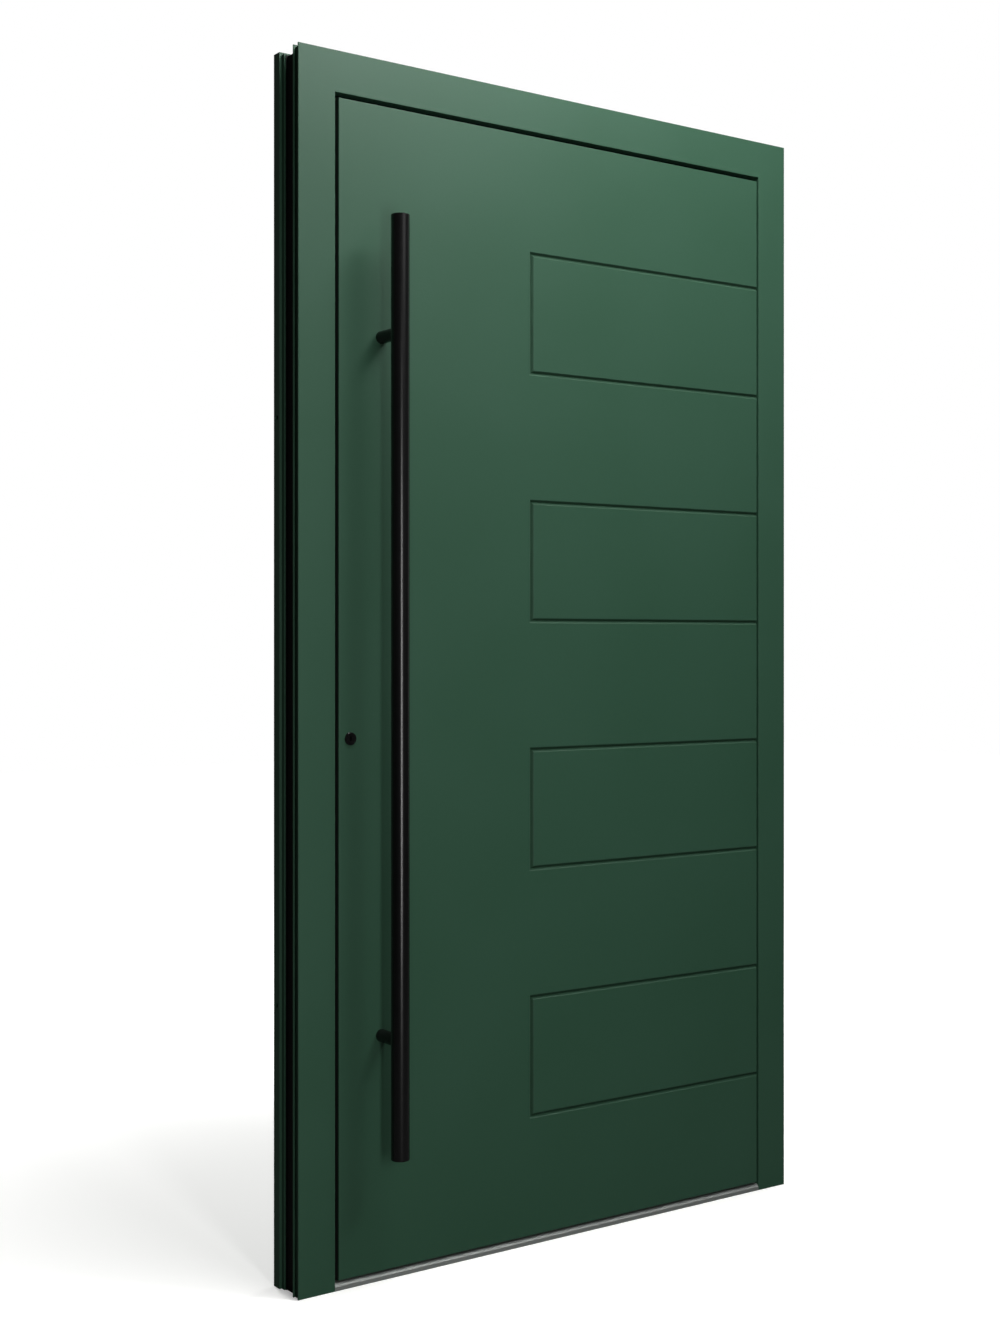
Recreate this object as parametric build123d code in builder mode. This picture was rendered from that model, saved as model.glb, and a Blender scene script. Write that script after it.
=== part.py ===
from build123d import *
import os

os.makedirs("parts", exist_ok=True)

# Frame as a whole: X runs along the wall, Y from outside to inside, Z up from the floor
frame_width = 1120.0
frame_height = 2100.0
frame_depth = 85.0

# Frame section, measured from the wall side
frame_face = 71.0
front_shell_depth = 19.0
rear_shell_depth = 44.0
shell_wall = 2.0
edge_round = 0.8
anchor_lip = 2.4
anchor_depth = 4.0
front_anchor_width = 14.6
rear_flange_depth = 19.6
wall_step = 4.4
wall_step_depth = 9.4
shoulder_setback = 13.0

# Thermal break strips between the outer and inner shells
break_foot = 6.0
break_foot_thickness = 2.0
break_web = 2.0

# Rebate gasket on the back of the frame's outer shells
rebate_gasket_inset = 2.0
rebate_gasket_width = 9.0
rebate_gasket_base = 4.0
rebate_gasket_lip = 5.0

# Corner cleats inside the mitres
cleat_arm = 130.0

# Threshold
threshold_height = 12.0
threshold_nose = 5.0

# Wall fixing holes through the jambs
wall_fixing_diameter = 8.5
wall_fixing_foot_inset = 480.0
wall_fixing_head_inset = 620.0

# Gaps round the leaf, and the leaf's section measured from its outer sheet's edge
gap_lock_side = 7.0
gap_hinge_side = 5.0
gap_head = 8.5
leaf_floor_gap = 17.0
leaf_overlap = 21.0
sash_width = 60.0
sash_setback = 2.0

# Infill panel
skin_thickness = 4.0
panel_thickness = 70.0
inner_sheet_thickness = 2.0
edge_gasket_depth = 8.0
panel_gasket_thickness = 3.0
panel_gasket_width = 10.0
bead_width = 12.0
bead_round = 3.0

# Grooved rectangles on the outer sheet, running out at the hinge side
band_count = 4
band_height = 216.0
band_foot_margin = 217.5
band_head_margin = 215.5
band_inset = 406.0
groove_width = 9.0
groove_floor = 0.6
groove_depth = 3.2

# Bottom seal
bottom_seal_width = 18.0
bottom_seal_fin = 5.0
bottom_seal_base = 5.0

# Pull bar
pull_bar_foot_margin = 205.0
pull_bar_head_margin = 198.5
pull_bar_diameter = 32.0
pull_bar_wall = 2.0
pull_bar_cap_thickness = 4.0
pull_bar_inset = 84.5
pull_bar_projection = 61.0
standoff_end_inset = 200.0
standoff_diameter = 22.0
pull_bolt_diameter = 8.0
pull_bolt_bite = 16.0
pull_bolt_head_diameter = 18.0
pull_bolt_head_thickness = 3.0

# Lock cylinder
cylinder_height = 934.0
cylinder_inset = 22.5
cylinder_diameter = 22.0
cylinder_projection = 3.0
cylinder_lug_width = 10.0
cylinder_lug_drop = 17.0
plug_diameter = 13.0
plug_recess = 0.8
keyway_width = 2.4
keyway_height = 8.5
keyway_depth = 14.0
cam_radius = 13.0
cam_width = 7.0
cam_thickness = 8.0
cam_gap = 1.0
turn_base_diameter = 30.0
turn_base_thickness = 5.0
turn_wing_length = 36.0
turn_wing_width = 11.0
turn_wing_height = 17.0

# Roses inside
rose_diameter = 52.0
rose_thickness = 8.0
rose_bevel = 1.5

# Lever
spindle_rise = 92.0
spindle_width = 8.0
lever_diameter = 20.0
lever_reach = 52.0
lever_length = 130.0
lever_end_bevel = 2.5
lever_socket_depth = 22.0
follower_radius = 11.0
follower_thickness = 7.0
follower_arm_reach = 18.0
follower_arm_width = 7.0

# Multi-point lock in the lock stile's edge
faceplate_width = 24.0
faceplate_thickness = 2.5
faceplate_foot_margin = 133.0
faceplate_head_margin = 180.5
case_thickness = 16.0
case_wall = 1.5
main_case_depth = 68.0
main_case_below = 75.0
main_case_above = 92.0
latch_width = 12.0
latch_height = 30.0
latch_throw = 12.0
latch_tip_width = 4.0
latch_head_length = 30.0
latch_tail_thickness = 2.0
latch_tail_height = 10.0
latch_lug_length = 4.0
latch_lug_play = 1.5
deadbolt_rise = 28.0
deadbolt_width = 12.0
deadbolt_height = 36.0
deadbolt_length = 32.0
hook_foot_margin = 243.0
hook_head_margin = 340.5
hook_pivot_inset = 14.0
hook_inner_radius = 25.0
hook_outer_radius = 35.0
hook_start_angle = 20.0
hook_arc_angle = 90.0
hook_web_angle = 30.0
hook_hub_radius = 8.0
hook_pin_radius = 4.0
hook_thickness = 6.0
hook_case_depth = 54.0
hook_case_half_height = 74.0
hook_slot_low = 9.0
hook_slot_high = 34.0
rod_width = 8.0
rod_thickness = 3.0
rod_inset = 14.0
rod_bite = 32.0

# Strike plates on the lock jamb
strike_thickness = 2.0
strike_width = 26.0
strike_margin = 26.0
strike_play = 3.0
hook_strike_low = 12.0
hook_strike_high = 32.0
hook_reach_below = 16.0

# Hinges
hinge_foot_margin = 233.0
hinge_head_margin = 170.5
hinge_length = 110.0
hinge_leaf_knuckle = 44.0
hinge_knuckle_radius = 10.0
hinge_pin_radius = 5.0
hinge_lift = 11.0
hinge_plate_width = 30.0
hinge_plate_thickness = 4.0
hinge_plate_round = 5.0
hinge_cap_thickness = 3.0

# Clearances: fixed and running fits, and loose sliding fits
fit_clearance = 0.05
slide_clearance = 0.3
cut_overrun = 5.0

# Places worked out from the sizes above
half_width = frame_width / 2
y_out = -frame_depth / 2
y_in = frame_depth / 2
y_break = y_out + front_shell_depth
y_rear = y_in - rear_shell_depth
frame_rear_face = frame_face - leaf_overlap
leaf_left = -half_width + frame_face + gap_lock_side
leaf_right = half_width - frame_face - gap_hinge_side
leaf_top = frame_height - frame_face - gap_head
leaf_bottom = leaf_floor_gap
x_edge = leaf_left - leaf_overlap
x_faceplate = x_edge - faceplate_thickness
x_jamb = -half_width + frame_rear_face
x_strike = x_jamb + strike_thickness
y_lock = (y_rear + y_in) / 2
y_skin = y_out + skin_thickness
y_sheet = y_out + panel_thickness
x_cylinder = leaf_left + cylinder_inset
z_spindle = cylinder_height + spindle_rise
z_deadbolt = cylinder_height + deadbolt_rise
x_bar = leaf_left + pull_bar_inset
y_bar = y_out - pull_bar_projection
bar_foot = leaf_bottom + pull_bar_foot_margin
pull_bar_length = leaf_top - pull_bar_head_margin - bar_foot
standoff_heights = (bar_foot + standoff_end_inset, bar_foot + pull_bar_length - standoff_end_inset)
faceplate_bottom = leaf_bottom + faceplate_foot_margin
faceplate_top = leaf_top - faceplate_head_margin
hook_heights = (leaf_bottom + hook_foot_margin, leaf_top - hook_head_margin)
lowest_hinge = leaf_bottom + hinge_foot_margin
highest_hinge = leaf_top - hinge_head_margin
hinge_heights = (lowest_hinge, (lowest_hinge + highest_hinge) / 2, highest_hinge)
wall_fixing_heights = (wall_fixing_foot_inset, frame_height - wall_fixing_head_inset)
x_hinge = half_width - frame_rear_face - gap_hinge_side / 2
y_hinge = y_in + hinge_lift
y_rose = y_in + rose_thickness


def section(plane, outline, chamber=()):
    """A closed outline on a plane, with its chamber left open."""
    with BuildSketch(plane) as face:
        with BuildLine():
            Polyline(*outline, close=True)
        make_face()
        if chamber:
            with BuildLine():
                Polyline(*chamber, close=True)
            make_face(mode=Mode.SUBTRACT)
    return face.sketch


def disc(plane, radius):
    """A round face on a plane."""
    with BuildSketch(plane) as face:
        Circle(radius)
    return face.sketch


def block(x_span, y_span, z_span, mode=Mode.ADD):
    """A box given by its three spans, in the piece being built."""
    spans = (x_span, y_span, z_span)
    with Locations(tuple((low + high) / 2 for low, high in spans)):
        Box(*(abs(high - low) for low, high in spans), mode=mode)


def facing(x, y, z, normal):
    """An upright plane at a point, with its normal along X or Y."""
    return Plane(origin=(x, y, z), x_dir=(-normal[1], normal[0], 0), z_dir=(*normal, 0))


def keep(piece, name):
    """Label a finished piece and write it."""
    piece.part.label = name
    export_step(piece.part, f"parts/{name}.step")


# Sections of the frame: first number from the wall side, second along Y
y_anchor = y_out + anchor_lip
y_front_rib = y_anchor + front_anchor_width
y_flange = y_in - rear_flange_depth
y_step = y_flange - wall_step_depth
front_outline = [
    (0, y_out), (frame_face, y_out), (frame_face, y_break), (0, y_break),
    (0, y_front_rib), (anchor_depth, y_front_rib), (anchor_depth, y_anchor), (0, y_anchor),
]
front_chamber = [
    (anchor_depth + shell_wall, y_out + shell_wall), (frame_face - shell_wall, y_out + shell_wall),
    (frame_face - shell_wall, y_break - shell_wall), (anchor_depth + shell_wall, y_break - shell_wall),
]
rear_outline = [
    (shoulder_setback, y_rear), (frame_rear_face, y_rear), (frame_rear_face, y_in), (0, y_in),
    (0, y_flange), (wall_step, y_flange), (wall_step, y_step), (shoulder_setback, y_step),
]
rear_chamber = [
    (shoulder_setback + shell_wall, y_rear + shell_wall), (frame_rear_face - shell_wall, y_rear + shell_wall),
    (frame_rear_face - shell_wall, y_in - shell_wall), (shell_wall, y_in - shell_wall),
    (shell_wall, y_flange + shell_wall), (wall_step + shell_wall, y_flange + shell_wall),
    (wall_step + shell_wall, y_step + shell_wall), (shoulder_setback + shell_wall, y_step + shell_wall),
]


def strip(centre, y_end):
    """Outline of a thermal break strip: a web with a foot on each shell, the inner one at y_end."""
    half_foot = break_foot / 2
    half_web = break_web / 2
    y_low = y_break + break_foot_thickness
    y_high = y_end - break_foot_thickness
    return [
        (centre - half_foot, y_break), (centre + half_foot, y_break), (centre + half_foot, y_low),
        (centre + half_web, y_low), (centre + half_web, y_high), (centre + half_foot, y_high),
        (centre + half_foot, y_end), (centre - half_foot, y_end), (centre - half_foot, y_high),
        (centre - half_web, y_high), (centre - half_web, y_low), (centre - half_foot, y_low),
    ]


wall_side_strip = strip(shoulder_setback - break_foot / 2, y_step)
frame_strips = [wall_side_strip, strip(frame_rear_face - break_foot / 2, y_rear)]


def along_left(points):
    return [(-half_width + across, y) for across, y in points]


def along_right(points):
    return [(half_width - across, y) for across, y in points]


def along_head(points):
    return [(y, frame_height - across) for across, y in points]


head_plane = Plane.YZ.offset(-half_width)
frame_mitres = [
    Plane(origin=(-half_width, 0, frame_height), z_dir=(1, 0, 1)),
    Plane(origin=(half_width, 0, frame_height), z_dir=(-1, 0, 1)),
]

# Outer shells of the frame, mitred at the head, with lightly rounded front edges
for name, place, mitre in (("left", along_left, frame_mitres[0]), ("right", along_right, frame_mitres[1])):
    with BuildPart() as jamb_outer:
        extrude(section(Plane.XY, place(front_outline), place(front_chamber)), amount=frame_height)
        fillet(jamb_outer.edges().filter_by(Axis.Z).group_by(Axis.Y)[0], edge_round)
        split(bisect_by=mitre, keep=Keep.BOTTOM)
    keep(jamb_outer, f"jamb_{name}_outer")

with BuildPart() as head_outer:
    extrude(section(head_plane, along_head(front_outline), along_head(front_chamber)), amount=frame_width)
    fillet(head_outer.edges().filter_by(Axis.X).group_by(Axis.Y)[0], edge_round)
    for mitre in frame_mitres:
        split(bisect_by=mitre, keep=Keep.TOP)
keep(head_outer, "head_outer")

def mitred(plane, outlines, length, mitre):
    """Bars of like length, cut off along a mitre."""
    with BuildPart() as bars:
        for outline in outlines:
            extrude(section(plane, outline), amount=length)
        split(bisect_by=mitre, keep=Keep.BOTTOM)
    return bars.part


# Thermal breaks of the frame
with BuildPart() as jamb_breaks:
    add(mitred(Plane.XY, [along_left(outline) for outline in frame_strips], frame_height, frame_mitres[0]))
    add(mitred(Plane.XY, [along_right(outline) for outline in frame_strips], frame_height, frame_mitres[1]))
keep(jamb_breaks, "jamb_breaks")

with BuildPart() as head_breaks:
    for outline in frame_strips:
        extrude(section(head_plane, along_head(outline)), amount=frame_width)
    for mitre in frame_mitres:
        split(bisect_by=mitre, keep=Keep.TOP)
keep(head_breaks, "head_breaks")

# Places of the strike openings on the lock jamb
half_latch_opening = latch_height / 2 + strike_play
latch_opening = (z_spindle - half_latch_opening, z_spindle + half_latch_opening)
half_deadbolt_opening = deadbolt_height / 2 + strike_play
deadbolt_opening = (z_deadbolt - half_deadbolt_opening, z_deadbolt + half_deadbolt_opening)
hook_openings = [(height + hook_strike_low, height + hook_strike_high) for height in hook_heights]
main_strike_span = (deadbolt_opening[0] - strike_margin, latch_opening[1] + strike_margin)
hook_strike_spans = [
    (low - hook_reach_below - strike_margin, high + strike_margin) for low, high in hook_openings
]
bolt_span = (y_lock - latch_width / 2 - strike_play, y_lock + latch_width / 2 + strike_play)
y_wall_fixing = (y_flange + y_in) / 2

# Inner shells of the frame; the lock jamb is opened for the bolts
with BuildPart() as jamb_left_inner:
    extrude(section(Plane.XY, along_left(rear_outline), along_left(rear_chamber)), amount=frame_height)
    split(bisect_by=frame_mitres[0], keep=Keep.BOTTOM)
    wall_span = (x_jamb - shell_wall - slide_clearance, x_jamb + cut_overrun)
    for low, high in (latch_opening, deadbolt_opening):
        block(wall_span, bolt_span, (low, high), mode=Mode.SUBTRACT)
    for low, high in hook_openings:
        block(wall_span, bolt_span, (low - hook_reach_below - hook_strike_low, high), mode=Mode.SUBTRACT)
    for height in wall_fixing_heights:
        hole_plane = facing(-half_width - cut_overrun, y_wall_fixing, height, (1, 0))
        extrude(disc(hole_plane, wall_fixing_diameter / 2), amount=frame_face, mode=Mode.SUBTRACT)
keep(jamb_left_inner, "jamb_left_inner")

with BuildPart() as jamb_right_inner:
    extrude(section(Plane.XY, along_right(rear_outline), along_right(rear_chamber)), amount=frame_height)
    split(bisect_by=frame_mitres[1], keep=Keep.BOTTOM)
    for height in wall_fixing_heights:
        hole_plane = facing(half_width + cut_overrun, y_wall_fixing, height, (-1, 0))
        extrude(disc(hole_plane, wall_fixing_diameter / 2), amount=frame_face, mode=Mode.SUBTRACT)
keep(jamb_right_inner, "jamb_right_inner")

with BuildPart() as head_inner:
    extrude(section(head_plane, along_head(rear_outline), along_head(rear_chamber)), amount=frame_width)
    for mitre in frame_mitres:
        split(bisect_by=mitre, keep=Keep.TOP)
keep(head_inner, "head_inner")


def cleat(x_corner, toward, z_corner, near, far, y_span):
    """An angle block that fills both chambers at a corner: near and far are measured from the corner."""
    points = [
        (near, near), (cleat_arm, near), (cleat_arm, far),
        (far, far), (far, cleat_arm), (near, cleat_arm),
    ]
    corner = [(x_corner + toward * across, z_corner - down) for across, down in points]
    plane = Plane(origin=(0, y_span[0], 0), x_dir=(1, 0, 0), z_dir=(0, -1, 0))
    extrude(section(plane, corner), amount=y_span[0] - y_span[1])


cleat_fit = shell_wall + slide_clearance
front_cleat = (anchor_depth + cleat_fit, frame_face - cleat_fit, (y_out + cleat_fit, y_break - cleat_fit))
rear_cleat = (
    shoulder_setback + cleat_fit, frame_rear_face - cleat_fit, (y_rear + cleat_fit, y_in - cleat_fit)
)
with BuildPart() as frame_corner_cleats:
    for near, far, y_span in (front_cleat, rear_cleat):
        cleat(-half_width, 1, frame_height, near, far, y_span)
        cleat(half_width, -1, frame_height, near, far, y_span)
keep(frame_corner_cleats, "frame_corner_cleats")


def arch(near, far, y_span, foot):
    """A strip round both jambs and the head, between two distances from the wall side."""
    outline = [
        (-half_width + near, foot), (-half_width + near, frame_height - near),
        (half_width - near, frame_height - near), (half_width - near, foot),
        (half_width - far, foot), (half_width - far, frame_height - far),
        (-half_width + far, frame_height - far), (-half_width + far, foot),
    ]
    plane = Plane(origin=(0, y_span[0], 0), x_dir=(1, 0, 0), z_dir=(0, -1, 0))
    extrude(section(plane, outline), amount=y_span[0] - y_span[1])


# Rebate gasket: a base on the outer shells' backs and a lip that the leaf closes on
with BuildPart() as rebate_gasket:
    gasket_far = frame_face - rebate_gasket_inset
    gasket_middle = gasket_far - rebate_gasket_width / 2
    lip_span = (y_break + rebate_gasket_base, y_rear - slide_clearance)
    arch(gasket_far - rebate_gasket_width, gasket_far, (y_break, lip_span[0]), threshold_height)
    half_lip = rebate_gasket_lip / 2
    arch(gasket_middle - half_lip, gasket_middle + half_lip, lip_span, threshold_height)
keep(rebate_gasket, "rebate_gasket")

# Threshold between the jambs: bevelled outer strip, plastic core and inner strip
with BuildPart() as threshold_outer:
    block((-half_width + frame_face, half_width - frame_face), (y_out, y_break), (0, threshold_height))
    nose = threshold_outer.edges().filter_by(Axis.X).group_by(Axis.Z)[-1].sort_by(Axis.Y)[0]
    chamfer(nose, threshold_nose)
keep(threshold_outer, "threshold_outer")

for name, y_span in (("core", (y_break, y_rear)), ("inner", (y_rear, y_in))):
    with BuildPart() as threshold_piece:
        block((x_jamb, -x_jamb), y_span, (0, threshold_height))
        if name == "inner":
            nose = threshold_piece.edges().filter_by(Axis.X).group_by(Axis.Z)[-1].sort_by(Axis.Y)[-1]
            chamfer(nose, threshold_nose)
    keep(threshold_piece, f"threshold_{name}")

# Strike plates on the lock jamb
with BuildPart() as strike_plates:
    for span in (main_strike_span, *hook_strike_spans):
        block((x_jamb, x_strike), (y_lock - strike_width / 2, y_lock + strike_width / 2), span)
    for low, high in (latch_opening, deadbolt_opening, *hook_openings):
        block((x_jamb - cut_overrun, x_strike + cut_overrun), bolt_span, (low, high), mode=Mode.SUBTRACT)
keep(strike_plates, "strike_plates")

# Hinges: a plate on each side of the gap, with knuckles that share one pin
half_leaf_knuckle = hinge_leaf_knuckle / 2
frame_knuckles = [
    (-hinge_length / 2, -half_leaf_knuckle - slide_clearance),
    (half_leaf_knuckle + slide_clearance, hinge_length / 2),
]
leaf_knuckles = [(-half_leaf_knuckle, half_leaf_knuckle)]
plate_near = hinge_knuckle_radius + slide_clearance
hinge_bore_radius = hinge_pin_radius + fit_clearance


def hinge_half(height, toward, knuckles):
    """One half of a hinge: its plate lies to the side given by toward."""
    x_plate = (x_hinge + toward * plate_near, x_hinge + toward * (plate_near + hinge_plate_width))
    y_plate = (y_in, y_in + hinge_plate_thickness)
    with BuildPart() as half:
        block(x_plate, y_plate, (height - hinge_length / 2, height + hinge_length / 2))
        far_edges = half.edges().filter_by(Axis.Y).sort_by(Axis.X)
        fillet(far_edges[-2:] if toward > 0 else far_edges[:2], hinge_plate_round)
        for low, high in knuckles:
            block((x_hinge, x_plate[0]), y_plate, (height + low, height + high))
            barrel_plane = Plane(origin=(x_hinge, y_hinge, height + low))
            extrude(disc(barrel_plane, hinge_knuckle_radius), amount=high - low)
        bore_plane = Plane(origin=(x_hinge, y_hinge, height - hinge_length))
        extrude(disc(bore_plane, hinge_bore_radius), amount=2 * hinge_length, mode=Mode.SUBTRACT)
    return half.part


with BuildPart() as hinge_frame_halves:
    for height in hinge_heights:
        add(hinge_half(height, 1, frame_knuckles))
keep(hinge_frame_halves, "hinge_frame_halves")

with BuildPart() as hinge_leaf_halves:
    for height in hinge_heights:
        add(hinge_half(height, -1, leaf_knuckles))
keep(hinge_leaf_halves, "hinge_leaf_halves")

with BuildPart() as hinge_pins:
    for height in hinge_heights:
        pin_foot = Plane(origin=(x_hinge, y_hinge, height - hinge_length / 2))
        extrude(disc(pin_foot, hinge_pin_radius), amount=hinge_length)
        extrude(disc(pin_foot, hinge_knuckle_radius), amount=-hinge_cap_thickness)
        extrude(disc(pin_foot.offset(hinge_length), hinge_knuckle_radius), amount=hinge_cap_thickness)
keep(hinge_pins, "hinge_pins")

# Outer sheet of the leaf, with its grooved rectangles, cylinder hole and pull bar holes
lowest_band = leaf_bottom + band_foot_margin + band_height / 2
highest_band = leaf_top - band_head_margin - band_height / 2
band_pitch = (highest_band - lowest_band) / (band_count - 1)
skin_plane = Plane(origin=(0, y_out, 0), x_dir=(1, 0, 0), z_dir=(0, -1, 0))


def band_face(plane, middle, grow):
    """The rectangle of one grooved band, grown all round and run out past the hinge side."""
    left = leaf_left + band_inset - grow
    right = leaf_right + groove_width + cut_overrun + grow
    with BuildSketch(plane) as face:
        with Locations(((left + right) / 2, middle)):
            Rectangle(right - left, band_height + 2 * grow)
    return face.sketch


def groove_cutter(middle):
    """A ring with a V section along the sides of one band."""
    floor_plane = skin_plane.offset(-groove_depth)
    with BuildPart() as cutter:
        half_mouth = groove_width / 2
        half_floor = groove_floor / 2
        loft([band_face(skin_plane, middle, half_mouth), band_face(floor_plane, middle, half_floor)])
        loft(
            [band_face(skin_plane, middle, -half_mouth), band_face(floor_plane, middle, -half_floor)],
            mode=Mode.SUBTRACT,
        )
    return cutter.part


with BuildPart() as outer_sheet:
    block((leaf_left, leaf_right), (y_out, y_skin), (leaf_bottom, leaf_top))
    fillet(outer_sheet.faces().sort_by(Axis.Y)[0].edges(), edge_round)
    for band in range(band_count):
        add(groove_cutter(lowest_band + band * band_pitch), mode=Mode.SUBTRACT)
    cylinder_plane = facing(x_cylinder, y_out - cut_overrun, cylinder_height, (0, 1))
    cylinder_hole = cylinder_diameter / 2 + fit_clearance
    extrude(disc(cylinder_plane, cylinder_hole), amount=cut_overrun + panel_thickness, mode=Mode.SUBTRACT)
    for height in standoff_heights:
        bolt_plane = facing(x_bar, y_out - cut_overrun, height, (0, 1))
        bolt_hole = pull_bolt_diameter / 2 + fit_clearance
        extrude(disc(bolt_plane, bolt_hole), amount=cut_overrun + panel_thickness, mode=Mode.SUBTRACT)
keep(outer_sheet, "outer_sheet")


def ring(near, far, y_span):
    """A strip all round the leaf, between two distances from the outer sheet's edge."""
    block(
        (leaf_left + near, leaf_right - near), y_span, (leaf_bottom + near, leaf_top - near),
    )
    block(
        (leaf_left + far, leaf_right - far), y_span, (leaf_bottom + far, leaf_top - far), mode=Mode.SUBTRACT,
    )


# Edge gasket that closes the joint between the outer sheet and the sash
with BuildPart() as edge_gasket:
    ring(0, sash_setback, (y_skin, y_skin + edge_gasket_depth))
keep(edge_gasket, "edge_gasket")

# Insulation core and inner sheet, drilled for the pull bar's bolts
panel_x = (leaf_left + sash_width, leaf_right - sash_width)
panel_z = (leaf_bottom + sash_width, leaf_top - sash_width)
y_core_end = y_sheet - inner_sheet_thickness
for name, y_span in (("insulation_core", (y_skin, y_core_end)), ("inner_sheet", (y_core_end, y_sheet))):
    with BuildPart() as panel_layer:
        block(panel_x, y_span, panel_z)
        for height in standoff_heights:
            bolt_plane = facing(x_bar, y_span[0] - cut_overrun, height, (0, 1))
            extrude(disc(bolt_plane, bolt_hole), amount=frame_depth, mode=Mode.SUBTRACT)
    keep(panel_layer, name)

# Panel gasket and the beads that hold the panel from inside
y_bead = y_sheet + panel_gasket_thickness
with BuildPart() as panel_gasket:
    ring(sash_width, sash_width + panel_gasket_width, (y_sheet, y_bead))
keep(panel_gasket, "panel_gasket")

x_bead = (panel_x[0] + bead_width, panel_x[1] - bead_width)
z_bead = (panel_z[0] + bead_width, panel_z[1] - bead_width)
upright_z = (z_bead[0] + fit_clearance, z_bead[1] - fit_clearance)
panel_middle = Vector((panel_x[0] + panel_x[1]) / 2, 0, (panel_z[0] + panel_z[1]) / 2)


def bead(x_span, z_span, lengthwise):
    """A square bead, rounded along the edge that faces the panel's middle."""
    with BuildPart() as bar:
        block(x_span, (y_bead, y_in), z_span)
        inner_edges = bar.edges().filter_by(lengthwise).group_by(Axis.Y)[-1]
        fillet(inner_edges.sort_by(lambda edge: (edge.center() - panel_middle).length)[0], bead_round)
    return bar.part


with BuildPart() as panel_beads:
    add(bead((panel_x[0], x_bead[0]), upright_z, Axis.Z))
    add(bead((x_bead[1], panel_x[1]), upright_z, Axis.Z))
    add(bead(panel_x, (panel_z[0], z_bead[0]), Axis.X))
    add(bead(panel_x, (z_bead[1], panel_z[1]), Axis.X))
keep(panel_beads, "panel_beads")

# Sections of the sash: first number from the outer sheet's edge, second along Y
outer_sash = [(sash_setback, y_skin), (sash_width, y_skin), (sash_width, y_break), (sash_setback, y_break)]
inner_sash = [(-leaf_overlap, y_rear), (sash_width, y_rear), (sash_width, y_in), (-leaf_overlap, y_in)]
inner_rail = [(0, y_rear), (sash_width, y_rear), (sash_width, y_in), (0, y_in)]
sash_strips = [strip(sash_setback + break_foot / 2, y_rear), strip(sash_width - break_foot / 2, y_rear)]


def hollow(outline):
    """The chamber inside a four-cornered outline."""
    (near, y_low), _, (far, y_high), _ = outline
    return [
        (near + shell_wall, y_low + shell_wall), (far - shell_wall, y_low + shell_wall),
        (far - shell_wall, y_high - shell_wall), (near + shell_wall, y_high - shell_wall),
    ]


def along_lock_stile(points):
    return [(leaf_left + across, y) for across, y in points]


def along_hinge_stile(points):
    return [(leaf_right - across, y) for across, y in points]


def along_top_rail(points):
    return [(y, leaf_top - across) for across, y in points]


def along_bottom_rail(points):
    return [(y, leaf_bottom + across) for across, y in points]


stile_plane = Plane.XY.offset(leaf_bottom)
raised_plane = Plane.XY.offset(leaf_bottom + sash_setback)
stile_length = leaf_top + leaf_overlap - leaf_bottom
top_rail_plane = Plane.YZ.offset(leaf_left - leaf_overlap)
top_rail_length = leaf_right - leaf_left + 2 * leaf_overlap
bottom_rail_plane = Plane.YZ.offset(panel_x[0])
bottom_rail_length = panel_x[1] - panel_x[0]
sash_mitres = [
    Plane(origin=(leaf_left, 0, leaf_top), z_dir=(1, 0, 1)),
    Plane(origin=(leaf_right, 0, leaf_top), z_dir=(-1, 0, 1)),
]


def cylinder_face(plane, grow=0):
    """The lock cylinder's outline: a round with a lug below."""
    half_lug = cylinder_lug_width / 2 + grow
    with BuildSketch(plane) as face:
        Circle(cylinder_diameter / 2 + grow)
        with BuildLine():
            Polyline(
                (-half_lug, 0), (half_lug, 0), (half_lug, -cylinder_lug_drop - grow),
                (-half_lug, -cylinder_lug_drop - grow), close=True,
            )
        make_face()
    return face.sketch


def cut_cylinder(y_from, length):
    """Cut the way of the lock cylinder through the piece being built."""
    plane = Plane(origin=(x_cylinder, y_from, cylinder_height), x_dir=(1, 0, 0), z_dir=(0, -1, 0))
    extrude(cylinder_face(plane, fit_clearance), amount=-length, mode=Mode.SUBTRACT)


# Lock stile: the inner shell is slotted for the lock cases and bored for the cylinder and the lever
main_case_z = (cylinder_height - main_case_below, z_spindle + main_case_above)
hook_cases_z = [(height - hook_case_half_height, height + hook_case_half_height) for height in hook_heights]
case_y = (y_lock - case_thickness / 2, y_lock + case_thickness / 2)
with BuildPart() as lock_stile_outer:
    stile_section = section(raised_plane, along_lock_stile(outer_sash), along_lock_stile(hollow(outer_sash)))
    extrude(stile_section, amount=stile_length)
    split(bisect_by=sash_mitres[0], keep=Keep.BOTTOM)
    cut_cylinder(y_out, front_shell_depth + cut_overrun)
keep(lock_stile_outer, "lock_stile_outer")

with BuildPart() as lock_stile_inner:
    stile_section = section(stile_plane, along_lock_stile(inner_sash), along_lock_stile(hollow(inner_sash)))
    extrude(stile_section, amount=stile_length)
    split(bisect_by=sash_mitres[0], keep=Keep.BOTTOM)
    slot_x = (x_edge - cut_overrun, x_edge + shell_wall + slide_clearance)
    slot_y = (case_y[0] - fit_clearance, case_y[1] + fit_clearance)
    for low, high in (main_case_z, *hook_cases_z):
        block(slot_x, slot_y, (low - fit_clearance, high + fit_clearance), mode=Mode.SUBTRACT)
    cut_cylinder(y_rear - cut_overrun, rear_shell_depth + 2 * cut_overrun)
    spindle_plane = facing(x_cylinder, y_lock, z_spindle, (0, 1))
    extrude(disc(spindle_plane, lever_diameter / 2 + slide_clearance), amount=frame_depth, mode=Mode.SUBTRACT)
keep(lock_stile_inner, "lock_stile_inner")

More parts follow.
